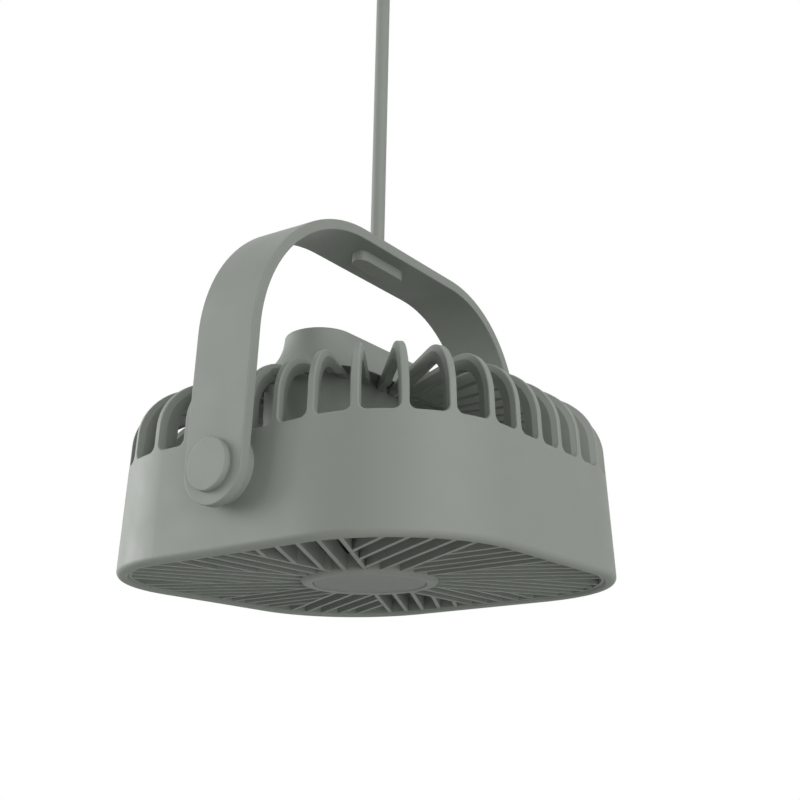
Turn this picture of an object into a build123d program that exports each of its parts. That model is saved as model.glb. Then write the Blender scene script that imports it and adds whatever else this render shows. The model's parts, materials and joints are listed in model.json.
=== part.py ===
from build123d import *
import math
import os

# Portable fan that hangs face down from a cord.
# The origin is the centre of the front rim: +Z points up to the cord and X runs along the bail's pivots.
# All lengths are millimetres and all angles are degrees.

os.makedirs("parts", exist_ok=True)

# Casing
body_width = 160.0
body_depth = 165.6
corner_radius = 50.0
body_draft = 2.6
wall = 2.4
rim_round = 2.4
rim_inner_round = 1.5
rim_lip = 4.4
ledge_width = 2.5
ledge_thickness = 2.5
slot_floor_z = 41.2
slot_round = 2.6
crown_z = 70.5
crown_round = 20.5
rib_count = 36
rib_turn = -0.5
rib_width = 2.7
rib_depth = 6.0
rib_inner_depth = 2.8
rib_slope_radius = 34.0
rib_join_radius = 25.6
rib_edge_round = 0.6

# Front grille
grille_recess = 1.3
grille_depth = 6.0
grille_band = 1.4
sector_count = 12
slats_per_sector = 5
slat_pitch = 7.6
slat_lead = -2.0
slat_width = 1.6
hub_radius = 26.3
hub_proud = 1.3
hub_round = 2.2
cap_radius = 21.6
cap_thickness = 1.2
cap_sink = 0.4

# Rear pod and the tub under it
pod_reach = 31.6
pod_height = 19.5
pod_top_radius = 13.9
pod_base_radius = 26.8
pod_edge = 0.4
pod_wall = 2.0
pod_top_round = 1.0
tub_radius = 21.0
tub_wall = 2.0
tub_floor_z = 44.0
tub_floor = 2.5
pod_foot_height = 4.0
pod_boss_x = 44.0
pod_boss_radius = 3.5

# Power button, board and battery
button_radius = 6.0
button_gap = 0.3
button_proud = 0.8
button_travel = 0.8
button_flange = 1.2
button_flange_thickness = 1.1
button_stem_radius = 2.0
board_drop = 7.0
board_thickness = 1.6
board_half_width = 10.0
board_post_x = 25.0
board_post_radius = 2.6
switch_size = 6.0
switch_height = 3.4
switch_stem_radius = 1.7
switch_stem_height = 0.6
lens_x = 14.0
lens_radius = 1.2
socket_width = 8.9
socket_height = 3.2
socket_length = 9.0
socket_wall = 0.4
socket_setback = 0.6
cell_radius = 9.2
cell_length = 65.0
cell_nub_radius = 2.8
cell_nub = 1.0

# Motor and impeller
motor_axis_floor = 12.0
hub_cup_radius = 22.5
hub_cup_height = 22.0
hub_front = 3.0
hub_front_round = 3.0
cup_steel = 1.0
magnet_thickness = 1.6
magnet_height = 12.0
air_gap = 0.6
stator_height = 10.0
stator_bore_wall = 3.0
tooth_count = 6
tooth_width = 3.4
shoe_depth = 2.0
shoe_spread = 38.0
coil_build = 1.6
coil_gap = 0.2
tube_radius = 4.6
bearing_radius = 3.0
bearing_length = 6.0
shaft_radius = 1.5
shaft_clearance = 0.05
clip_radius = 2.6
clip_thickness = 0.6
motor_flange_radius = 17.0
motor_flange = 2.0
motor_screw_circle = 12.5
motor_screw_count = 3
blade_count = 7
blade_tip_radius = 65.0
blade_root_chord = 21.0
blade_tip_chord = 33.0
blade_thickness = 1.8
blade_root_pitch = 42.0
blade_tip_pitch = 26.0
blade_middle_share = 0.5

# Screws
screw_radius = 1.25
screw_head_radius = 2.6
screw_head = 1.6
screw_bite = 4.0

# Bail and its pivots
bail_lean = 3.25
pivot_z = 28.5
strap_width = 26.3
strap_shift = 0.9
strap_thickness = 4.0
strap_round = 0.4
across_share = 0.8
strap_tail = 0.6
bail_reach = 6.6
bail_height = 104.3
bail_corner_radius = 57.0
pivot_boss_radius = 12.4
pivot_boss_wall = 6.0
washer_radius = 11.0
washer_thickness = 0.4
pivot_radius = 4.0
pivot_thread_radius = 2.5
pivot_head_radius = 7.2
pivot_head = 0.8
pivot_cap_radius = 9.2
pivot_cap_height = 1.9
pivot_cap_round = 0.5

# Slot, toggle, cord and eyelet
slot_shift = -5.0
slot_length = 20.0
slot_width = 13.8
toggle_x = -3.65
toggle_y = -3.7
toggle_length = 28.2
toggle_width = 7.3
toggle_thickness = 4.0
toggle_round = 0.3
cord_radius = 2.875
cord_sink = 2.0
cord_bottom = Vector(-9.18, -9.32, 126.4)
cord_top = Vector(-7.55, -11.15, 276.0)
eyelet_socket_radius = 5.0
eyelet_socket_height = 9.0
eyelet_ring_radius = 11.0
eyelet_bore_radius = 6.0
eyelet_thickness = 6.0

# Fits
seat_gap = 0.05
running_gap = 0.3
overrun = 10.0
pick_reach = 0.01


def draft_at(height):
    """Return how far the tapered wall has moved in at this height."""
    return height * math.tan(math.radians(body_draft))


def pod_radius_at(height):
    """Return the pod's outer radius on its concave flank at this height."""
    drop = pod_top_z - height
    return pod_top_radius + pod_flare - math.sqrt(pod_flare**2 - drop**2)


# Places that follow from the sizes above
ledge_z = grille_recess + grille_depth
cavity_z = ledge_z + ledge_thickness
crown_under_z = crown_z - rib_depth
pod_top_z = crown_z + pod_height
pod_spread = pod_base_radius - pod_top_radius
pod_drop = pod_height - pod_edge
pod_flare = (pod_spread**2 + pod_drop**2) / (2 * pod_spread)
pod_ceiling_z = pod_top_z - pod_wall
board_top_z = pod_ceiling_z - board_drop
board_z = board_top_z - board_thickness
tub_inside_z = tub_floor_z + tub_floor
bail_half_width = body_width / 2 + bail_reach
bail_inner = bail_half_width - strap_thickness
washer_x = bail_inner - seat_gap
boss_face_x = washer_x - washer_thickness
cup_inner = hub_cup_radius - hub_front
magnet_outer = cup_inner - cup_steel
magnet_inner = magnet_outer - magnet_thickness
stator_radius = magnet_inner - air_gap
hub_top_z = motor_axis_floor + hub_cup_height
cup_z = motor_axis_floor + hub_front
motor_flange_z = tub_floor_z - motor_flange
tube_end_z = cup_z + cup_steel + running_gap + cup_steel

# The bail leans about the pivots, so its parts are drawn on a leaning plane whose Y axis runs up the arms.
lean = math.radians(bail_lean)
bail_plane = Plane(origin=(0, 0, pivot_z), x_dir=(1, 0, 0), z_dir=(0, -math.cos(lean), -math.sin(lean)))
bail_up = Vector(0, -math.sin(lean), math.cos(lean))


def pod_stadium(radius):
    """Draw a stadium along X with the pod's own end centres."""
    return SlotCenterToCenter(2 * pod_reach, 2 * radius)


# Casing: drafted wall, domed crown of ribs, and the tub that holds the motor and the battery
with BuildPart() as casing_cavity:
    with BuildSketch(Plane.XY.offset(cavity_z)):
        inset = wall + draft_at(cavity_z)
        RectangleRounded(body_width - 2 * inset, body_depth - 2 * inset, corner_radius - inset)
    extrude(amount=slot_floor_z - cavity_z, taper=body_draft)
    with BuildSketch(Plane.XY.offset(slot_floor_z)):
        inset = rib_depth + draft_at(slot_floor_z)
        RectangleRounded(body_width - 2 * inset, body_depth - 2 * inset, corner_radius - inset)
    extrude(amount=crown_under_z - slot_floor_z, taper=body_draft)
    fillet(casing_cavity.faces().sort_by(Axis.Z)[-1].edges(), crown_round - rib_depth)
    # the ribs get thinner towards the pod
    with BuildSketch(Plane.XY.offset(crown_under_z)):
        pod_stadium(rib_slope_radius)
    with BuildSketch(Plane.XY.offset(crown_z - rib_inner_depth)):
        pod_stadium(rib_join_radius)
    loft(ruled=True)

rib_half_angle = math.radians(180.0 / rib_count)
wedge_apex = rib_width / 2 / math.sin(rib_half_angle)
slot_inner_radius = wedge_apex + (slot_round + seat_gap) / math.tan(rib_half_angle)
slot_outer_radius = body_width / 2 + corner_radius


def wedge_half_width(radius):
    """Return half the gap between two ribs at this distance from the axis."""
    return (radius - wedge_apex) * math.tan(rib_half_angle)


def rib_wedge(inner, outer):
    """Draw the plan of the gap between two ribs, along +X."""
    return Polygon(
        (inner, -wedge_half_width(inner)),
        (outer, -wedge_half_width(outer)),
        (outer, wedge_half_width(outer)),
        (inner, wedge_half_width(inner)),
        align=None,
    )


def on_gap_outline(place):
    """Say whether a point is on the side or the floor of a gap between two ribs."""
    if place.Z < slot_floor_z - pick_reach:
        return False
    pitch = 2 * rib_half_angle
    turn = math.atan2(place.Y, place.X) - math.radians(rib_turn)
    turn -= pitch * round(turn / pitch)
    radius = math.hypot(place.X, place.Y)
    half_gap = wedge_half_width(radius * math.cos(turn))
    on_side = abs(abs(radius * math.sin(turn)) - half_gap) < pick_reach
    return radius > rib_join_radius + rib_width and (on_side or place.Z < slot_floor_z + slot_round)


with BuildPart() as rib_gap:
    with BuildSketch(Plane.XY.offset(slot_floor_z)):
        rib_wedge(slot_inner_radius, slot_outer_radius)
    extrude(amount=crown_z - slot_floor_z + overrun)
    fillet(rib_gap.faces().sort_by(Axis.Z)[0].edges().sort_by(SortBy.LENGTH)[-2:], slot_round)
    with BuildSketch(Plane.XY.offset(crown_under_z - rib_depth)):
        rib_wedge(rib_join_radius, slot_inner_radius + rib_depth)
    extrude(amount=2 * rib_depth + overrun)

with BuildPart() as casing:
    with BuildSketch():
        RectangleRounded(body_width, body_depth, corner_radius)
    extrude(amount=crown_z, taper=body_draft)
    fillet(casing.faces().sort_by(Axis.Z)[-1].edges(), crown_round)
    fillet(casing.faces().sort_by(Axis.Z)[0].edges(), rim_round)
    outer_skin = casing.part.shell()
    add(casing_cavity.part, mode=Mode.SUBTRACT)
    with BuildSketch():
        RectangleRounded(body_width - 2 * rim_lip, body_depth - 2 * rim_lip, corner_radius - rim_lip)
    extrude(amount=ledge_z, mode=Mode.SUBTRACT)
    fillet(casing.faces().sort_by(Axis.Z)[0].inner_wires().edges(), rim_inner_round)
    with BuildSketch(Plane.XY.offset(ledge_z)):
        inset = rim_lip + ledge_width
        RectangleRounded(body_width - 2 * inset, body_depth - 2 * inset, corner_radius - inset)
    extrude(amount=ledge_thickness, mode=Mode.SUBTRACT)
    with PolarLocations(0, rib_count, start_angle=rib_turn):
        add(rib_gap.part, mode=Mode.SUBTRACT)
    # the ribs' outer edges are rounded
    rib_edges = [edge for edge in casing.edges() if on_gap_outline(edge.position_at(0.5))]
    rib_edges = [edge for edge in rib_edges if outer_skin.distance_to(edge.position_at(0.5)) < pick_reach]
    fillet(rib_edges, rib_edge_round)
    with BuildSketch(Plane.XY.offset(tub_floor_z)):
        pod_stadium(tub_radius)
    extrude(amount=crown_z - tub_floor_z)
    with BuildSketch(Plane.XY.offset(tub_inside_z)):
        pod_stadium(tub_radius - tub_wall)
    extrude(amount=crown_z - tub_inside_z, mode=Mode.SUBTRACT)
    with BuildSketch(Plane.XY.offset(tub_floor_z)):
        with Locations((pod_boss_x, 0), (-pod_boss_x, 0)):
            Circle(pod_boss_radius)
    extrude(amount=crown_z - tub_floor_z)
    with BuildSketch(Plane.XY.offset(tub_floor_z)):
        with Locations((pod_boss_x, 0), (-pod_boss_x, 0)):
            Circle(screw_head_radius + seat_gap)
    extrude(amount=screw_head, mode=Mode.SUBTRACT)
    with BuildSketch(Plane.XY.offset(tub_floor_z)):
        with Locations((pod_boss_x, 0), (-pod_boss_x, 0)):
            Circle(screw_radius + seat_gap)
        with PolarLocations(motor_screw_circle, motor_screw_count):
            Circle(screw_radius + seat_gap)
    extrude(amount=crown_z - tub_floor_z, mode=Mode.SUBTRACT)
    # pivot bosses, outside and inside the wall
    for side in (1, -1):
        wall_x = body_width / 2 - draft_at(pivot_z) - wall
        with BuildSketch(Plane(origin=(side * wall_x, 0, pivot_z), z_dir=(side, 0, 0))):
            Circle(pivot_boss_radius)
        extrude(amount=boss_face_x - wall_x)
        with BuildSketch(Plane(origin=(side * (wall_x - pivot_boss_wall), 0, pivot_z), z_dir=(side, 0, 0))):
            Circle(pivot_thread_radius + wall)
        extrude(amount=pivot_boss_wall)
        with BuildSketch(Plane(origin=(side * (wall_x - pivot_boss_wall), 0, pivot_z), z_dir=(side, 0, 0))):
            Circle(pivot_thread_radius + seat_gap)
        extrude(amount=boss_face_x + pivot_boss_wall, mode=Mode.SUBTRACT)
casing.part.label = "casing"
export_step(casing.part, "parts/casing.step")

# Front grille: twelve fans of parallel slats, each ending on the first slat of the next
sector_angle = 360.0 / sector_count
lead_turn = math.radians(sector_angle)
slat_reach = body_width / 2 + corner_radius
slat_root = (cap_radius + hub_radius) / 2
with BuildPart() as grille_hub:
    with BuildSketch(Plane.XY.offset(grille_recess - hub_proud)):
        Circle(hub_radius)
    extrude(amount=grille_depth + hub_proud)
    fillet(grille_hub.faces().sort_by(Axis.Z)[0].edges(), hub_round)
    with BuildSketch(Plane.XY.offset(grille_recess - hub_proud)):
        Circle(cap_radius + seat_gap)
    extrude(amount=cap_sink + cap_thickness + seat_gap, mode=Mode.SUBTRACT)
    chamfer(grille_hub.faces().sort_by(Axis.Z)[0].inner_wires().edges(), cap_sink)

with BuildPart() as front_grille:
    with BuildSketch(Plane.XY.offset(grille_recess)):
        for sector in range(sector_count):
            turn = sector * sector_angle
            for index in range(slats_per_sector):
                offset_y = slat_lead + index * slat_pitch
                start = max(slat_root, offset_y / math.tan(lead_turn) - slat_lead / math.sin(lead_turn))
                middle = (start + slat_reach) / 2
                along = math.radians(turn)
                across = math.radians(turn - 90.0)
                x = middle * math.cos(along) + offset_y * math.cos(across)
                y = middle * math.sin(along) + offset_y * math.sin(across)
                with Locations(Location((x, y, 0), (0, 0, turn))):
                    Rectangle(slat_reach - start, slat_width)
        inset = rim_lip + seat_gap
        opening_width = body_width - 2 * inset
        opening_depth = body_depth - 2 * inset
        opening_radius = corner_radius - inset
        RectangleRounded(opening_width, opening_depth, opening_radius, mode=Mode.INTERSECT)
        with BuildSketch(mode=Mode.PRIVATE) as band:
            RectangleRounded(opening_width, opening_depth, opening_radius)
            RectangleRounded(
                opening_width - 2 * grille_band,
                opening_depth - 2 * grille_band,
                opening_radius - grille_band,
                mode=Mode.SUBTRACT,
            )
        add(band.sketch)
    extrude(amount=grille_depth)
    add(grille_hub.part)
front_grille.part.label = "front_grille"
export_step(front_grille.part, "parts/front_grille.step")

# Plain disc set into the middle of the grille
with BuildPart() as grille_cap:
    with BuildSketch(Plane.XY.offset(grille_recess - hub_proud + cap_sink)):
        Circle(cap_radius)
    extrude(amount=cap_thickness)
    chamfer(grille_cap.faces().sort_by(Axis.Z)[0].edges(), cap_thickness / 3)
grille_cap.part.label = "grille_cap"
export_step(grille_cap.part, "parts/grille_cap.step")

# Rear pod: a stadium with a concave flank that runs out over the ribs
with BuildPart() as rear_pod:
    with BuildSketch(Plane.YZ) as pod_section:
        with BuildLine():
            Polyline(
                (0, pod_top_z),
                (0, crown_z),
                (pod_base_radius, crown_z),
                (pod_base_radius, crown_z + pod_edge),
            )
            RadiusArc((pod_base_radius, crown_z + pod_edge), (pod_top_radius, pod_top_z), pod_flare)
            Line((pod_top_radius, pod_top_z), (0, pod_top_z))
        make_face()
    half_section = pod_section.sketch
    extrude(amount=pod_reach)
    mirror(about=Plane.XZ)
    revolve(
        half_section.moved(Location((pod_reach, 0, 0))),
        axis=Axis((pod_reach, 0, 0), (0, 0, 1)),
        revolution_arc=-180,
    )
    mirror(about=Plane.YZ)
    fillet(rear_pod.faces().sort_by(Axis.Z)[-1].edges(), pod_top_round)
    with BuildSketch(Plane.XY.offset(crown_z)):
        pod_stadium(tub_radius - tub_wall)
    extrude(amount=pod_foot_height, mode=Mode.SUBTRACT)
    with BuildSketch(Plane.XY.offset(crown_z)):
        pod_stadium(pod_top_radius - pod_wall)
    extrude(amount=pod_ceiling_z - crown_z, mode=Mode.SUBTRACT)
    # bosses for the two long screws, and posts for the board
    with BuildSketch(Plane.XY.offset(crown_z)):
        with Locations((pod_boss_x, 0), (-pod_boss_x, 0)):
            Circle(pod_boss_radius)
    extrude(amount=pod_foot_height)
    with BuildSketch(Plane.XY.offset(crown_z)):
        with Locations((pod_boss_x, 0), (-pod_boss_x, 0)):
            Circle(screw_radius + seat_gap)
    extrude(amount=pod_foot_height + screw_bite, mode=Mode.SUBTRACT)
    with BuildSketch(Plane.XY.offset(board_top_z)):
        with Locations((board_post_x, 0), (-board_post_x, 0)):
            Circle(board_post_radius)
            Circle(screw_radius + seat_gap, mode=Mode.SUBTRACT)
    extrude(amount=pod_ceiling_z - board_top_z)
    # holes for the button, the lens and the charging socket
    with BuildSketch(Plane.XY.offset(pod_ceiling_z)):
        Circle(button_radius + button_gap)
        with Locations((lens_x, 0)):
            Circle(lens_radius + seat_gap)
    extrude(amount=pod_wall, mode=Mode.SUBTRACT)
    with BuildSketch(Plane.YZ.offset(pod_reach)):
        with Locations((0, board_top_z + socket_height / 2)):
            SlotOverall(socket_width + 2 * running_gap, socket_height + 2 * running_gap)
    extrude(amount=pod_base_radius, mode=Mode.SUBTRACT)
rear_pod.part.label = "rear_pod"
export_step(rear_pod.part, "parts/rear_pod.step")

# Two long screws from the tub's floor into the pod
with BuildPart() as pod_screws:
    for side in (1, -1):
        with BuildSketch(Plane.XY.offset(tub_floor_z)):
            with Locations((side * pod_boss_x, 0)):
                Circle(screw_head_radius)
        extrude(amount=screw_head)
        with BuildSketch(Plane.XY.offset(tub_floor_z)):
            with Locations((side * pod_boss_x, 0)):
                Circle(screw_radius)
        extrude(amount=crown_z - tub_floor_z + pod_foot_height + screw_bite)
pod_screws.part.label = "pod_screws"
export_step(pod_screws.part, "parts/pod_screws.step")

# Power button: a domed key with a flange that keeps it in the pod
button_rest_z = pod_ceiling_z - running_gap
switch_top_z = board_top_z + switch_height + switch_stem_height
with BuildPart() as power_button:
    with BuildSketch(Plane.XY.offset(button_rest_z - button_flange_thickness)):
        Circle(button_radius + button_flange)
    extrude(amount=button_flange_thickness)
    with BuildSketch(Plane.XY.offset(button_rest_z)):
        Circle(button_radius)
    extrude(amount=pod_top_z + button_proud - button_rest_z)
    fillet(power_button.faces().sort_by(Axis.Z)[-1].edges(), button_proud)
    stem_z = switch_top_z + button_travel + running_gap
    with BuildSketch(Plane.XY.offset(stem_z)):
        Circle(button_stem_radius)
    extrude(amount=button_rest_z - stem_z)
power_button.part.label = "power_button"
export_step(power_button.part, "parts/power_button.step")

# Circuit board, hung from the pod's two posts
with BuildPart() as circuit_board:
    with BuildSketch(Plane.XY.offset(board_z)):
        SlotCenterToCenter(2 * pod_reach, 2 * board_half_width)
        with Locations((board_post_x, 0), (-board_post_x, 0)):
            Circle(screw_radius + seat_gap, mode=Mode.SUBTRACT)
    extrude(amount=board_thickness)
circuit_board.part.label = "circuit_board"
export_step(circuit_board.part, "parts/circuit_board.step")

with BuildPart() as board_screws:
    for side in (1, -1):
        with BuildSketch(Plane.XY.offset(board_z - screw_head)):
            with Locations((side * board_post_x, 0)):
                Circle(screw_head_radius)
        extrude(amount=screw_head)
        with BuildSketch(Plane.XY.offset(board_z)):
            with Locations((side * board_post_x, 0)):
                Circle(screw_radius)
        extrude(amount=board_thickness + screw_bite)
board_screws.part.label = "board_screws"
export_step(board_screws.part, "parts/board_screws.step")

# Push switch under the button
with BuildPart() as button_switch:
    with BuildSketch(Plane.XY.offset(board_top_z)):
        Rectangle(switch_size, switch_size)
    extrude(amount=switch_height)
    with BuildSketch(Plane.XY.offset(board_top_z + switch_height)):
        Circle(switch_stem_radius)
    extrude(amount=switch_stem_height)
button_switch.part.label = "button_switch"
export_step(button_switch.part, "parts/button_switch.step")

# Light pipe that shows the charge, from the board to the pod's top
with BuildPart() as indicator_lens:
    with BuildSketch(Plane.XY.offset(board_top_z)):
        with Locations((lens_x, 0)):
            Circle(lens_radius)
    extrude(amount=pod_top_z - board_top_z)
indicator_lens.part.label = "indicator_lens"
export_step(indicator_lens.part, "parts/indicator_lens.step")

# Charging socket at the board's end, open to the pod's side
socket_z = board_top_z + socket_height / 2
socket_mouth_x = pod_reach + pod_radius_at(socket_z) - socket_setback
with BuildPart() as charging_socket:
    with BuildSketch(Plane.YZ.offset(socket_mouth_x - socket_length)):
        with Locations((0, socket_z)):
            SlotOverall(socket_width, socket_height)
    extrude(amount=socket_length)
    with BuildSketch(Plane.YZ.offset(socket_mouth_x - socket_length + 2 * socket_wall)):
        with Locations((0, socket_z)):
            SlotOverall(socket_width - 2 * socket_wall, socket_height - 2 * socket_wall)
            Rectangle(socket_width - 3 * socket_height / 2, socket_wall, mode=Mode.SUBTRACT)
    extrude(amount=socket_length, mode=Mode.SUBTRACT)
charging_socket.part.label = "charging_socket"
export_step(charging_socket.part, "parts/charging_socket.step")

# Battery cell, lying along the tub
cell_z = tub_inside_z + cell_radius + running_gap
with BuildPart() as battery_cell:
    with BuildSketch(Plane.YZ.offset(-cell_length / 2)):
        with Locations((0, cell_z)):
            Circle(cell_radius)
    extrude(amount=cell_length - cell_nub)
    with BuildSketch(Plane.YZ.offset(cell_length / 2 - cell_nub)):
        with Locations((0, cell_z)):
            Circle(cell_nub_radius)
    extrude(amount=cell_nub)
battery_cell.part.label = "battery_cell"
export_step(battery_cell.part, "parts/battery_cell.step")

# Motor base: a flange under the tub with the tube that carries the bearings and the stator
with BuildPart() as motor_base:
    with BuildSketch(Plane.XY.offset(motor_flange_z)):
        Circle(motor_flange_radius)
        with PolarLocations(motor_screw_circle, motor_screw_count):
            Circle(screw_radius + seat_gap, mode=Mode.SUBTRACT)
    extrude(amount=motor_flange)
    with BuildSketch(Plane.XY.offset(tube_end_z)):
        Circle(tube_radius)
    extrude(amount=motor_flange_z - tube_end_z)
    with BuildSketch(Plane.XY.offset(tube_end_z)):
        Circle(bearing_radius + seat_gap)
    extrude(amount=tub_floor_z - tube_end_z, mode=Mode.SUBTRACT)
motor_base.part.label = "motor_base"
export_step(motor_base.part, "parts/motor_base.step")

with BuildPart() as motor_screws:
    with BuildSketch(Plane.XY.offset(motor_flange_z - screw_head)):
        with PolarLocations(motor_screw_circle, motor_screw_count):
            Circle(screw_head_radius)
    extrude(amount=screw_head)
    with BuildSketch(Plane.XY.offset(motor_flange_z)):
        with PolarLocations(motor_screw_circle, motor_screw_count):
            Circle(screw_radius)
    extrude(amount=motor_flange + tub_floor)
motor_screws.part.label = "motor_screws"
export_step(motor_screws.part, "parts/motor_screws.step")


def bearing_bush(name, low_z):
    """Make one sintered bush in the motor tube."""
    with BuildPart() as bush:
        with BuildSketch(Plane.XY.offset(low_z)):
            Circle(bearing_radius)
            Circle(shaft_radius + shaft_clearance, mode=Mode.SUBTRACT)
        extrude(amount=bearing_length)
    bush.part.label = name
    export_step(bush.part, f"parts/{name}.step")


rear_bearing_z = motor_flange_z - bearing_length
bearing_bush("front_bearing", tube_end_z)
bearing_bush("rear_bearing", rear_bearing_z)

# Stator: a toothed core on the tube, with one coil on each tooth
magnet_z = hub_top_z - magnet_height - cup_steel
stator_z = magnet_z + (magnet_height - stator_height) / 2
tooth_root = tube_radius + seat_gap + stator_bore_wall
with BuildPart() as stator_core:
    with BuildSketch(Plane.XY.offset(stator_z)):
        Circle(stator_radius)
        Circle(stator_radius - shoe_depth, mode=Mode.SUBTRACT)
        with PolarLocations(0, tooth_count, start_angle=180.0 / tooth_count):
            gap_angle = math.radians((360.0 / tooth_count - shoe_spread) / 2)
            Rectangle(
                2 * stator_radius,
                2 * stator_radius * math.sin(gap_angle),
                align=(Align.MIN, Align.CENTER),
                mode=Mode.SUBTRACT,
            )
        Circle(tooth_root)
        with PolarLocations(0, tooth_count):
            Rectangle(stator_radius - shoe_depth / 2, tooth_width, align=(Align.MIN, Align.CENTER))
        Circle(tube_radius + seat_gap, mode=Mode.SUBTRACT)
    extrude(amount=stator_height)
stator_core.part.label = "stator_core"
export_step(stator_core.part, "parts/stator_core.step")

coil_inner = tooth_root + coil_build
coil_half_width = tooth_width / 2 + coil_build
coil_outer = math.sqrt((stator_radius - shoe_depth) ** 2 - coil_half_width**2) - coil_gap
coil_length = coil_outer - coil_inner
with BuildPart() as stator_coils:
    with PolarLocations(0, tooth_count):
        with Locations((coil_inner + coil_length / 2, 0, stator_z + stator_height / 2)):
            Box(coil_length, 2 * coil_half_width, stator_height + 2 * coil_build)
            Box(
                coil_length,
                tooth_width + 2 * seat_gap,
                stator_height + 2 * seat_gap,
                mode=Mode.SUBTRACT,
            )
stator_coils.part.label = "stator_coils"
export_step(stator_coils.part, "parts/stator_coils.step")

# Rotor: steel cup, magnet ring, shaft and its clip inside the impeller's hub
with BuildPart() as rotor_cup:
    with BuildSketch(Plane.XY.offset(cup_z)):
        Circle(cup_inner - seat_gap)
        Circle(shaft_radius + seat_gap, mode=Mode.SUBTRACT)
    extrude(amount=hub_top_z - cup_z)
    with BuildSketch(Plane.XY.offset(cup_z + cup_steel)):
        Circle(magnet_outer)
    extrude(amount=hub_top_z - cup_z, mode=Mode.SUBTRACT)
rotor_cup.part.label = "rotor_cup"
export_step(rotor_cup.part, "parts/rotor_cup.step")

with BuildPart() as magnet_ring:
    with BuildSketch(Plane.XY.offset(magnet_z)):
        Circle(magnet_outer - seat_gap)
        Circle(magnet_inner, mode=Mode.SUBTRACT)
    extrude(amount=magnet_height)
magnet_ring.part.label = "magnet_ring"
export_step(magnet_ring.part, "parts/magnet_ring.step")

clip_z = motor_flange_z + running_gap
shaft_low_z = motor_axis_floor + hub_front / 2
shaft_high_z = clip_z + clip_thickness + running_gap
with BuildPart() as motor_shaft:
    with BuildSketch(Plane.XY.offset(shaft_low_z)):
        Circle(shaft_radius)
    extrude(amount=shaft_high_z - shaft_low_z)
    chamfer(motor_shaft.faces().sort_by(Axis.Z)[-1].edges(), shaft_radius / 5)
motor_shaft.part.label = "motor_shaft"
export_step(motor_shaft.part, "parts/motor_shaft.step")

with BuildPart() as shaft_clip:
    with BuildSketch(Plane.XY.offset(clip_z)):
        Circle(clip_radius)
        Circle(shaft_radius + seat_gap, mode=Mode.SUBTRACT)
    extrude(amount=clip_thickness)
shaft_clip.part.label = "shaft_clip"
export_step(shaft_clip.part, "parts/shaft_clip.step")

# Impeller: a cupped hub with twisted blades
blade_root_radius = hub_cup_radius - hub_front / 2
blade_middle_radius = blade_root_radius + (blade_tip_radius - blade_root_radius) * blade_middle_share
blade_z = motor_axis_floor + hub_cup_height / 2


def blade_value(root, tip, radius):
    """Interpolate a blade size from root to tip."""
    share = (radius - blade_root_radius) / (blade_tip_radius - blade_root_radius)
    return root + (tip - root) * share


with BuildPart() as blade:
    for radius in (blade_root_radius, blade_middle_radius, blade_tip_radius):
        with BuildSketch(Plane(origin=(radius, 0, blade_z), x_dir=(0, 1, 0), z_dir=(1, 0, 0))):
            SlotOverall(
                blade_value(blade_root_chord, blade_tip_chord, radius),
                blade_thickness,
                rotation=blade_value(blade_root_pitch, blade_tip_pitch, radius),
            )
    loft()

with BuildPart() as impeller:
    with BuildSketch(Plane.XY.offset(motor_axis_floor)):
        Circle(hub_cup_radius)
    extrude(amount=hub_cup_height)
    fillet(impeller.faces().sort_by(Axis.Z)[0].edges(), hub_front_round)
    with PolarLocations(0, blade_count):
        add(blade.part)
    with BuildSketch(Plane.XY.offset(cup_z)):
        Circle(cup_inner)
    extrude(amount=hub_cup_height, mode=Mode.SUBTRACT)
    with BuildSketch(Plane.XY.offset(shaft_low_z)):
        Circle(shaft_radius + seat_gap)
    extrude(amount=hub_front, mode=Mode.SUBTRACT)
impeller.part.label = "impeller"
export_step(impeller.part, "parts/impeller.step")

# Bail: a flat strap bent into an arch, with round ends on the pivots
strap_half = strap_width / 2
bail_inner_height = bail_height - strap_thickness
with BuildPart() as bail:
    with BuildSketch(bail_plane.offset(strap_shift)):
        with BuildLine():
            FilletPolyline(
                (-bail_half_width, -strap_tail),
                (-bail_half_width, bail_height),
                (bail_half_width, bail_height),
                (bail_half_width, -strap_tail),
                radius=bail_corner_radius,
            )
            Line((bail_half_width, -strap_tail), (-bail_half_width, -strap_tail))
        make_face()
        with BuildLine():
            FilletPolyline(
                (-bail_inner, -strap_tail),
                (-bail_inner, bail_inner_height),
                (bail_inner, bail_inner_height),
                (bail_inner, -strap_tail),
                radius=bail_corner_radius - strap_thickness,
            )
            Line((bail_inner, -strap_tail), (-bail_inner, -strap_tail))
        make_face(mode=Mode.SUBTRACT)
    extrude(amount=strap_half, both=True)
    for side in (1, -1):
        tail_end = bail_plane.from_local_coords((side * bail_inner, -strap_tail, strap_shift))
        with BuildSketch(Plane(origin=tail_end, z_dir=(side, 0, 0))):
            Circle(strap_half)
        extrude(amount=strap_thickness)
    across_strap = bail_plane.z_dir
    long_edges = bail.edges().filter_by(
        lambda edge: edge.geom_type != GeomType.LINE or abs(edge.tangent_at(0.5).dot(across_strap)) < across_share
    )
    fillet(long_edges, strap_round)
    for side in (1, -1):
        with BuildSketch(Plane(origin=(side * bail_inner, 0, pivot_z), z_dir=(side, 0, 0))):
            Circle(pivot_radius + shaft_clearance)
        extrude(amount=strap_thickness, mode=Mode.SUBTRACT)
    slot_plane = Plane(
        origin=bail_plane.from_local_coords((slot_shift, bail_inner_height, 0)),
        x_dir=(1, 0, 0),
        z_dir=bail_up,
    )
    with BuildSketch(slot_plane):
        SlotOverall(slot_length, slot_width)
    extrude(amount=strap_thickness, mode=Mode.SUBTRACT)
bail.part.label = "bail"
export_step(bail.part, "parts/bail.step")

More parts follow.
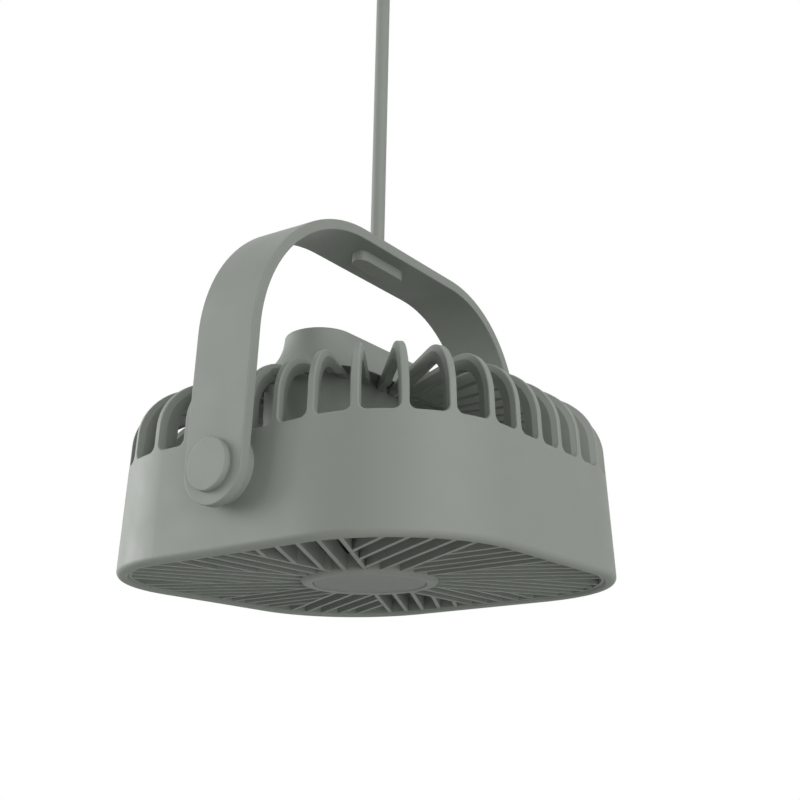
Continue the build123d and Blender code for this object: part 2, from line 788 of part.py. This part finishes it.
# Pivot screws, washers and caps, one of each on either side
with BuildPart() as pivot_screws:
    for side in (1, -1):
        pivot_place = Plane(origin=(side * boss_face_x, 0, pivot_z), z_dir=(side, 0, 0))
        shoulder = bail_half_width + seat_gap - boss_face_x
        with BuildSketch(pivot_place):
            Circle(pivot_radius)
        extrude(amount=shoulder)
        with BuildSketch(pivot_place):
            Circle(pivot_thread_radius)
        extrude(amount=-(pivot_boss_wall + wall))
        with BuildSketch(pivot_place.offset(shoulder)):
            Circle(pivot_head_radius)
        extrude(amount=pivot_head)
pivot_screws.part.label = "pivot_screws"
export_step(pivot_screws.part, "parts/pivot_screws.step")

with BuildPart() as friction_washers:
    for side in (1, -1):
        with BuildSketch(Plane(origin=(side * boss_face_x, 0, pivot_z), z_dir=(side, 0, 0))):
            Circle(washer_radius)
            Circle(pivot_radius + seat_gap, mode=Mode.SUBTRACT)
        extrude(amount=washer_thickness)
friction_washers.part.label = "friction_washers"
export_step(friction_washers.part, "parts/friction_washers.step")

with BuildPart() as pivot_caps:
    for side in (1, -1):
        cap_place = Plane(origin=(side * bail_half_width, 0, pivot_z), z_dir=(side, 0, 0))
        with BuildSketch(cap_place):
            Circle(pivot_cap_radius)
        extrude(amount=pivot_cap_height)
        outer_face = pivot_caps.faces().sort_by(Axis.X)[-1 if side == 1 else 0]
        fillet(outer_face.edges(), pivot_cap_round)
        with BuildSketch(cap_place):
            Circle(pivot_head_radius + running_gap)
        extrude(amount=pivot_head + seat_gap + running_gap, mode=Mode.SUBTRACT)
pivot_caps.part.label = "pivot_caps"
export_step(pivot_caps.part, "parts/pivot_caps.step")

# Toggle under the strap, too long to pull up through the slot
toggle_plane = slot_plane.offset(-toggle_thickness)
cord_plane = Plane(origin=cord_bottom, x_dir=(1, 0, 0), z_dir=cord_top - cord_bottom)
cord_length = (cord_top - cord_bottom).length
with BuildPart() as toggle:
    with BuildSketch(toggle_plane):
        with Locations((toggle_x, toggle_y)):
            SlotOverall(toggle_length, toggle_width)
    extrude(amount=toggle_thickness)
    fillet(toggle.faces().sort_by(Axis.Z)[0].edges(), toggle_round)
    with BuildSketch(cord_plane):
        Circle(cord_radius)
    extrude(amount=toggle_thickness, mode=Mode.SUBTRACT)
toggle.part.label = "toggle"
export_step(toggle.part, "parts/toggle.step")

# Hanging cord: one straight run, held taut
with BuildPart() as hanging_cord:
    with BuildSketch(cord_plane):
        Circle(cord_radius)
    extrude(amount=cord_length)
hanging_cord.part.label = "hanging_cord"
export_step(hanging_cord.part, "parts/hanging_cord.step")
print("cord length", round(cord_length, 2), "volume ratio",
      round(hanging_cord.part.volume / (math.pi * cord_radius**2 * cord_length), 5))

# Eyelet moulded on the cord's top end
eyelet_eye_z = cord_top.Z + cord_sink + eyelet_ring_radius
with BuildPart() as cord_eyelet:
    with BuildSketch(Plane(origin=(cord_top.X, cord_top.Y, cord_top.Z - eyelet_socket_height))):
        Circle(eyelet_socket_radius)
    extrude(amount=eyelet_socket_height + eyelet_ring_radius / 2)
    eye_plane = Plane(
        origin=(cord_top.X, cord_top.Y + eyelet_thickness / 2, eyelet_eye_z), x_dir=(1, 0, 0), z_dir=(0, -1, 0)
    )
    with BuildSketch(eye_plane):
        Circle(eyelet_ring_radius)
    extrude(amount=eyelet_thickness)
    with BuildSketch(eye_plane.offset(-overrun)):
        Circle(eyelet_bore_radius)
    extrude(amount=eyelet_thickness + 2 * overrun, mode=Mode.SUBTRACT)
    with BuildSketch(cord_plane):
        Circle(cord_radius)
    extrude(amount=cord_length, mode=Mode.SUBTRACT)
cord_eyelet.part.label = "cord_eyelet"
export_step(cord_eyelet.part, "parts/cord_eyelet.step")
print("eye centre", cord_top.X, cord_top.Y, eyelet_eye_z)
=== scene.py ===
import json
import math

import bmesh
import bpy
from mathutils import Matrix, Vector
from mathutils.bvhtree import BVHTree


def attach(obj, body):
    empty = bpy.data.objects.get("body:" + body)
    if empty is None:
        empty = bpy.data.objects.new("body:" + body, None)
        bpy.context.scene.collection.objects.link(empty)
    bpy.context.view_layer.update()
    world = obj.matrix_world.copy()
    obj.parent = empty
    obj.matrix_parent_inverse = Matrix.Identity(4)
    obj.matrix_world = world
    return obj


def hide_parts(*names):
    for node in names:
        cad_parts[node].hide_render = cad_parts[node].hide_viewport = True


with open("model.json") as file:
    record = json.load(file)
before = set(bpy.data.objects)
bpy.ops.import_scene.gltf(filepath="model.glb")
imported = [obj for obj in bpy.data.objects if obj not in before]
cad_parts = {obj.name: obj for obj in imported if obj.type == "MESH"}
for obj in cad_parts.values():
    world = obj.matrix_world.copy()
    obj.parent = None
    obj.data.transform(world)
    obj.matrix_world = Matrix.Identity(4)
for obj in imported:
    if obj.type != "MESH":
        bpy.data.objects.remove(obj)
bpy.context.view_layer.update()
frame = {"nodes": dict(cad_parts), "record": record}

# Units
mm = 0.001

# Camera, placed from the photograph's perspective
camera_place = (-342.5 * mm, -265.5 * mm, -69.9 * mm)
camera_pan = math.radians(36.258)
camera_pitch = math.radians(18.394)
sensor_width = 36.0
focal_share = 1.4236

# Cord, with the route's points and one more about six diameters from each end
cord_radius = 2.875 * mm
cord_bottom = Vector((-9.18, -9.32, 126.4)) * mm
cord_top = Vector((-7.55, -11.15, 276.0)) * mm
cord_end_share = 0.24
cord_sides = 10
cord_order = 3

# Ribs of the casing's crown, as the part's source has them
rib_count = 36
rib_turn = math.radians(-0.5)
rib_width = 2.7 * mm
rib_foot = 41.2 * mm
crown_top = 70.5 * mm

# Shoulders along the ribs' sides, from the foot, round the bend and over the crown to the tub
shoulder_start = 0.65 * mm
shoulder_proud = 0.45 * mm
shoulder_depth_share = 0.4
shoulder_back_share = 0.97
rib_deepest = 8.0 * mm
bend_centre = 62.0 * mm
bend_steps = 24
bend_start = math.radians(1.0)
crown_stride = 2.0 * mm
crown_end = 27.0 * mm
ray_start = 100.0 * mm

# Colours
sage = (0.262, 0.288, 0.256)
sage_cap = (0.248, 0.260, 0.246)
black = (0.022, 0.022, 0.023)
steel_grey = (0.56, 0.57, 0.58)
core_grey = (0.10, 0.10, 0.11)
copper_red = (0.62, 0.27, 0.12)
bronze_brown = (0.45, 0.33, 0.17)
board_green = (0.03, 0.15, 0.06)
wrap_blue = (0.05, 0.12, 0.26)
lens_white = (0.80, 0.82, 0.78)

# Noise: the part of its range that a finish spreads over, and its detail
noise_low = 0.3
noise_high = 0.7
soft_detail = 3.0
fine_detail = 4.0

# Moulded plastic
mottle_scale = 28.0
mottle_change = 0.015
gloss_scale = 90.0
gloss_change = 0.03
grain_strength = 0.35
plastic_index = 1.46

# Metal
tarnish_scale = 60.0
tarnish_change = 0.08
scratch_scale = 900.0
scratch_polish = 0.08
scratch_dulling = 0.1
scratch_depth = 0.02 * mm
scratch_strength = 0.3

# Wound wire
wire_metallic = 0.8
wire_scale = 500.0
wire_waver = 1.2
wire_change = 0.25
wire_depth = 0.15 * mm
wire_strength = 0.6
wire_rough = 0.32

# Lens
lens_mottle_scale = 400.0
lens_change = 0.04
lens_grain = 2000.0
lens_depth = 0.01 * mm
lens_strength = 0.2
lens_rough = 0.28
lens_clearness = 0.25

# Stage
floor_height = -0.75
floor_radius = 3.0
floor_sides = 96
floor_tone = (0.82, 0.82, 0.81)
floor_mottle_scale = 3.0
floor_change = 0.01
floor_rough = 0.9
world_tone = (1.0, 1.0, 1.0)
world_level = 0.09
backdrop_level = 1.0

# Lamps: name, azimuth and elevation in degrees as seen from the fan, distance and side in metres, watts
lamp_target = Vector((0.0, 0.0, 60.0)) * mm
lamps = [
    ("front", 215, 40, 1.3, 0.9, 1.4),
    ("key", 262, 12, 1.3, 0.9, 4.8),
    ("side", 128, 20, 1.3, 0.9, 6.0),
    ("rim", 108, 12, 1.3, 0.6, 7.7),
    ("low", 245, -8, 1.3, 0.9, 6.5),
    ("top", 215, 82, 1.3, 0.9, 2.9),
]


# Materials

def shader(name):
    """A new material with its principled shader, its node tree and the frame's coordinates."""
    material = bpy.data.materials.new(name)
    material.use_nodes = True
    tree = material.node_tree
    bsdf = tree.nodes["Principled BSDF"]
    place = tree.nodes.new("ShaderNodeTexCoord")
    return material, tree, bsdf, place.outputs["Object"]


def noise(tree, place, scale, detail=soft_detail, stretch=None):
    """Noise over the frame's coordinates, with features of about 1 / scale metres."""
    node = tree.nodes.new("ShaderNodeTexNoise")
    node.inputs["Scale"].default_value = scale
    node.inputs["Detail"].default_value = detail
    if stretch:
        mapping = tree.nodes.new("ShaderNodeMapping")
        mapping.inputs["Scale"].default_value = stretch
        tree.links.new(place, mapping.inputs["Vector"])
        place = mapping.outputs["Vector"]
    tree.links.new(place, node.inputs["Vector"])
    return node.outputs["Fac"]


def spread(tree, value, low, high):
    """Maps a noise value to a range."""
    node = tree.nodes.new("ShaderNodeMapRange")
    node.inputs["From Min"].default_value = noise_low
    node.inputs["From Max"].default_value = noise_high
    node.inputs["To Min"].default_value = low
    node.inputs["To Max"].default_value = high
    tree.links.new(value, node.inputs["Value"])
    return node.outputs["Result"]


def vary_colour(tree, bsdf, value, colour, change):
    """Colour that goes a share darker and lighter with a noise value."""
    ramp = tree.nodes.new("ShaderNodeValToRGB")
    dark, light = ramp.color_ramp.elements
    dark.position = noise_low
    light.position = noise_high
    dark.color = [c * (1 - change) for c in colour] + [1]
    light.color = [c * (1 + change) for c in colour] + [1]
    tree.links.new(value, ramp.inputs["Fac"])
    tree.links.new(ramp.outputs["Color"], bsdf.inputs["Base Color"])


def roughen(tree, bsdf, value, depth, strength):
    """Bump from a noise value, with its depth in metres."""
    bump = tree.nodes.new("ShaderNodeBump")
    bump.inputs["Strength"].default_value = strength
    bump.inputs["Distance"].default_value = depth
    tree.links.new(value, bump.inputs["Height"])
    tree.links.new(bump.outputs["Normal"], bsdf.inputs["Normal"])


def moulded_plastic(name, colour, rough=0.56, grain=1400.0, depth=0.05 * mm):
    """Matte moulded plastic: spark-eroded grain, faint mottling and uneven gloss."""
    material, tree, bsdf, place = shader(name)
    vary_colour(tree, bsdf, noise(tree, place, mottle_scale), colour, mottle_change)
    gloss = spread(tree, noise(tree, place, gloss_scale), rough - gloss_change, rough + gloss_change)
    tree.links.new(gloss, bsdf.inputs["Roughness"])
    roughen(tree, bsdf, noise(tree, place, grain, fine_detail), depth, grain_strength)
    bsdf.inputs["IOR"].default_value = plastic_index
    return material


def metal(name, colour, rough, stretch):
    """Plated or drawn metal with fine scratches along one way."""
    material, tree, bsdf, place = shader(name)
    bsdf.inputs["Metallic"].default_value = 1.0
    scratches = noise(tree, place, scratch_scale, fine_detail, stretch)
    vary_colour(tree, bsdf, noise(tree, place, tarnish_scale), colour, tarnish_change)
    gloss = spread(tree, scratches, rough - scratch_polish, rough + scratch_dulling)
    tree.links.new(gloss, bsdf.inputs["Roughness"])
    roughen(tree, bsdf, scratches, scratch_depth, scratch_strength)
    return material


def wound_wire(name, colour):
    """Enamelled wire laid in close turns."""
    material, tree, bsdf, place = shader(name)
    bsdf.inputs["Metallic"].default_value = wire_metallic
    turns = tree.nodes.new("ShaderNodeTexWave")
    turns.bands_direction = "Z"
    turns.inputs["Scale"].default_value = wire_scale
    turns.inputs["Distortion"].default_value = wire_waver
    tree.links.new(place, turns.inputs["Vector"])
    vary_colour(tree, bsdf, turns.outputs["Fac"], colour, wire_change)
    roughen(tree, bsdf, turns.outputs["Fac"], wire_depth, wire_strength)
    bsdf.inputs["Roughness"].default_value = wire_rough
    return material


def diffusing_lens(name, colour):
    """Milky plastic that lets light through."""
    material, tree, bsdf, place = shader(name)
    vary_colour(tree, bsdf, noise(tree, place, lens_mottle_scale), colour, lens_change)
    roughen(tree, bsdf, noise(tree, place, lens_grain), lens_depth, lens_strength)
    bsdf.inputs["Roughness"].default_value = lens_rough
    bsdf.inputs["Transmission Weight"].default_value = lens_clearness
    return material


materials = {
    "shell_plastic": moulded_plastic("shell_plastic", sage),
    "cap_plastic": moulded_plastic("cap_plastic", sage_cap, rough=0.6),
    "cord_plastic": moulded_plastic("cord_plastic", sage, rough=0.5, grain=2200.0, depth=0.03 * mm),
    "black_plastic": moulded_plastic("black_plastic", black, rough=0.5),
    "steel": metal("steel", steel_grey, rough=0.3, stretch=(1.0, 1.0, 0.05)),
    "lamination": metal("lamination", core_grey, rough=0.45, stretch=(0.05, 0.05, 6.0)),
    "copper": wound_wire("copper", copper_red),
    "bronze": metal("bronze", bronze_brown, rough=0.42, stretch=(1.0, 1.0, 1.0)),
    "board": moulded_plastic("board", board_green, rough=0.3, grain=900.0, depth=0.02 * mm),
    "cell_wrap": moulded_plastic("cell_wrap", wrap_blue, rough=0.25, grain=500.0, depth=0.03 * mm),
    "lens": diffusing_lens("lens", lens_white),
}


def finish_with(piece, slot):
    """Gives a piece the one material of its slot."""
    piece.data.materials.clear()
    piece.data.materials.append(materials[slot])


for row in frame["record"]["subparts"]:
    finish_with(frame["nodes"][row["node"]], row["material_slot"])


# Cord

def hanging_cord():
    """The taut cord from the toggle to the eyelet."""
    curve = bpy.data.curves.new("cord", "CURVE")
    curve.dimensions = "3D"
    curve.bevel_depth = cord_radius
    curve.bevel_resolution = cord_sides
    curve.use_fill_caps = True
    lower = cord_bottom.lerp(cord_top, cord_end_share)
    upper = cord_top.lerp(cord_bottom, cord_end_share)
    route = [cord_bottom, lower, upper, cord_top]
    spline = curve.splines.new("NURBS")
    spline.points.add(len(route) - 1)
    for point, place in zip(spline.points, route):
        point.co = (*place, 1)
    spline.order_u = cord_order
    spline.use_endpoint_u = True
    piece = bpy.data.objects.new("cord", curve)
    bpy.context.scene.collection.objects.link(piece)
    curve.materials.append(materials["cord_plastic"])
    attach(piece, "hanger")
    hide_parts("hanging_cord")


hanging_cord()


# Shoulders of the ribs

def rib_skin(casing, out):
    """The points and normals along the middle of a rib's outer face, from its foot to the tub."""
    up = Vector((0, 0, 1))
    centre = out * bend_centre + up * rib_foot
    skin = []
    for step in range(bend_steps + 1):
        rise = bend_start + (math.pi / 2 - bend_start) * step / bend_steps
        ray = out * math.cos(rise) + up * math.sin(rise)
        skin.append(casing.ray_cast(centre + ray * ray_start, -ray)[:2])
    reach = bend_centre - crown_stride
    while reach > crown_end:
        place, normal = casing.ray_cast(out * reach + up * ray_start, -up)[:2]
        if place is None or abs(place.z - crown_top) > shoulder_start:
            break
        skin.append((place, normal))
        reach -= crown_stride
    return skin


def shoulder_sections(casing, out, across):
    """The corners of a rib's section with both its shoulders, at each point of its outer face."""
    sections = []
    for place, normal in rib_skin(casing, out):
        slant = normal.dot(across)
        inward = (across * slant - normal).normalized()
        lean = inward * slant / math.sqrt(1 - slant ** 2)
        thick = casing.ray_cast(place + inward * shoulder_start, inward)[3] + shoulder_start
        if thick > rib_deepest:
            break
        widest = thick * shoulder_depth_share
        back = thick * shoulder_back_share
        corners = []
        for side, proud, depth in (
            (1, 0, shoulder_start), (1, shoulder_proud, widest), (1, 0, back),
            (-1, 0, back), (-1, shoulder_proud, widest), (-1, 0, shoulder_start),
        ):
            edge = place + (across + lean) * side * rib_width / 2
            corners.append(edge + across * side * proud + inward * depth)
        sections.append(corners)
    return sections


def rib_shoulders():
    """The ribs are widest at the mould's parting line, so each side slopes out to it and back again."""
    shell = frame["nodes"]["casing"].data
    casing = BVHTree.FromPolygons([v.co for v in shell.vertices], [p.vertices for p in shell.polygons])
    strips = bmesh.new()
    pitch = math.tau / rib_count
    for rib in range(rib_count):
        turn = rib_turn + pitch / 2 + pitch * rib
        out = Vector((math.cos(turn), math.sin(turn), 0))
        across = Vector((-math.sin(turn), math.cos(turn), 0))
        rings = [[strips.verts.new(c) for c in corners] for corners in shoulder_sections(casing, out, across)]
        for lower, upper in zip(rings, rings[1:]):
            for corner in range(len(lower)):
                after = (corner + 1) % len(lower)
                strips.faces.new((lower[corner], lower[after], upper[after], upper[corner]))
        strips.faces.new(rings[0])
        strips.faces.new(rings[-1])
    bmesh.ops.recalc_face_normals(strips, faces=strips.faces)
    mesh = bpy.data.meshes.new("rib_shoulders")
    strips.to_mesh(mesh)
    strips.free()
    piece = bpy.data.objects.new("rib_shoulders", mesh)
    bpy.context.scene.collection.objects.link(piece)
    finish_with(piece, "shell_plastic")
    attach(piece, "fan_body")


rib_shoulders()


# Stage, light and camera

def floor():
    """A plain pale floor well below the fan."""
    mesh = bpy.data.meshes.new("floor")
    disc = bmesh.new()
    bmesh.ops.create_circle(disc, cap_ends=True, segments=floor_sides, radius=floor_radius)
    disc.to_mesh(mesh)
    disc.free()
    piece = bpy.data.objects.new("floor", mesh)
    piece.location.z = floor_height
    bpy.context.scene.collection.objects.link(piece)
    material, tree, bsdf, place = shader("floor")
    vary_colour(tree, bsdf, noise(tree, place, floor_mottle_scale), floor_tone, floor_change)
    bsdf.inputs["Roughness"].default_value = floor_rough
    mesh.materials.append(material)


def studio_world():
    """Even light from all round, seen as plain white by the camera and in reflections."""
    world = bpy.data.worlds.new("studio")
    world.use_nodes = True
    tree = world.node_tree
    even = tree.nodes["Background"]
    even.inputs["Color"].default_value = (*world_tone, 1)
    even.inputs["Strength"].default_value = world_level
    white = tree.nodes.new("ShaderNodeBackground")
    white.inputs["Color"].default_value = (*world_tone, 1)
    white.inputs["Strength"].default_value = backdrop_level
    path = tree.nodes.new("ShaderNodeLightPath")
    seen = path.outputs["Is Camera Ray"]
    for ray in ("Is Glossy Ray", "Is Transmission Ray"):
        either = tree.nodes.new("ShaderNodeMath")
        either.operation = "MAXIMUM"
        tree.links.new(seen, either.inputs[0])
        tree.links.new(path.outputs[ray], either.inputs[1])
        seen = either.outputs["Value"]
    mix = tree.nodes.new("ShaderNodeMixShader")
    tree.links.new(seen, mix.inputs["Fac"])
    tree.links.new(even.outputs["Background"], mix.inputs[1])
    tree.links.new(white.outputs["Background"], mix.inputs[2])
    tree.links.new(mix.outputs["Shader"], tree.nodes["World Output"].inputs["Surface"])
    bpy.context.scene.world = world


def lamp(name, azimuth, elevation, distance, side, watts):
    """A square soft lamp that faces the fan."""
    light = bpy.data.lights.new(name, "AREA")
    light.size = side
    light.energy = watts
    piece = bpy.data.objects.new(name, light)
    turn = math.radians(azimuth)
    rise = math.radians(elevation)
    out = Vector((math.cos(turn) * math.cos(rise), math.sin(turn) * math.cos(rise), math.sin(rise)))
    piece.location = lamp_target + out * distance
    piece.rotation_euler = out.to_track_quat("Z", "Y").to_euler()
    bpy.context.scene.collection.objects.link(piece)


def camera():
    """The camera that took the photograph."""
    data = bpy.data.cameras.new("camera")
    data.sensor_width = sensor_width
    data.lens = sensor_width * focal_share
    data.clip_start = mm
    piece = bpy.data.objects.new("camera", data)
    piece.location = camera_place
    piece.rotation_euler = (math.pi / 2 + camera_pitch, 0, camera_pan - math.pi / 2)
    bpy.context.scene.collection.objects.link(piece)
    bpy.context.scene.camera = piece


floor()
studio_world()
for row in lamps:
    lamp(*row)
camera()
bpy.context.scene.view_settings.view_transform = "Standard"
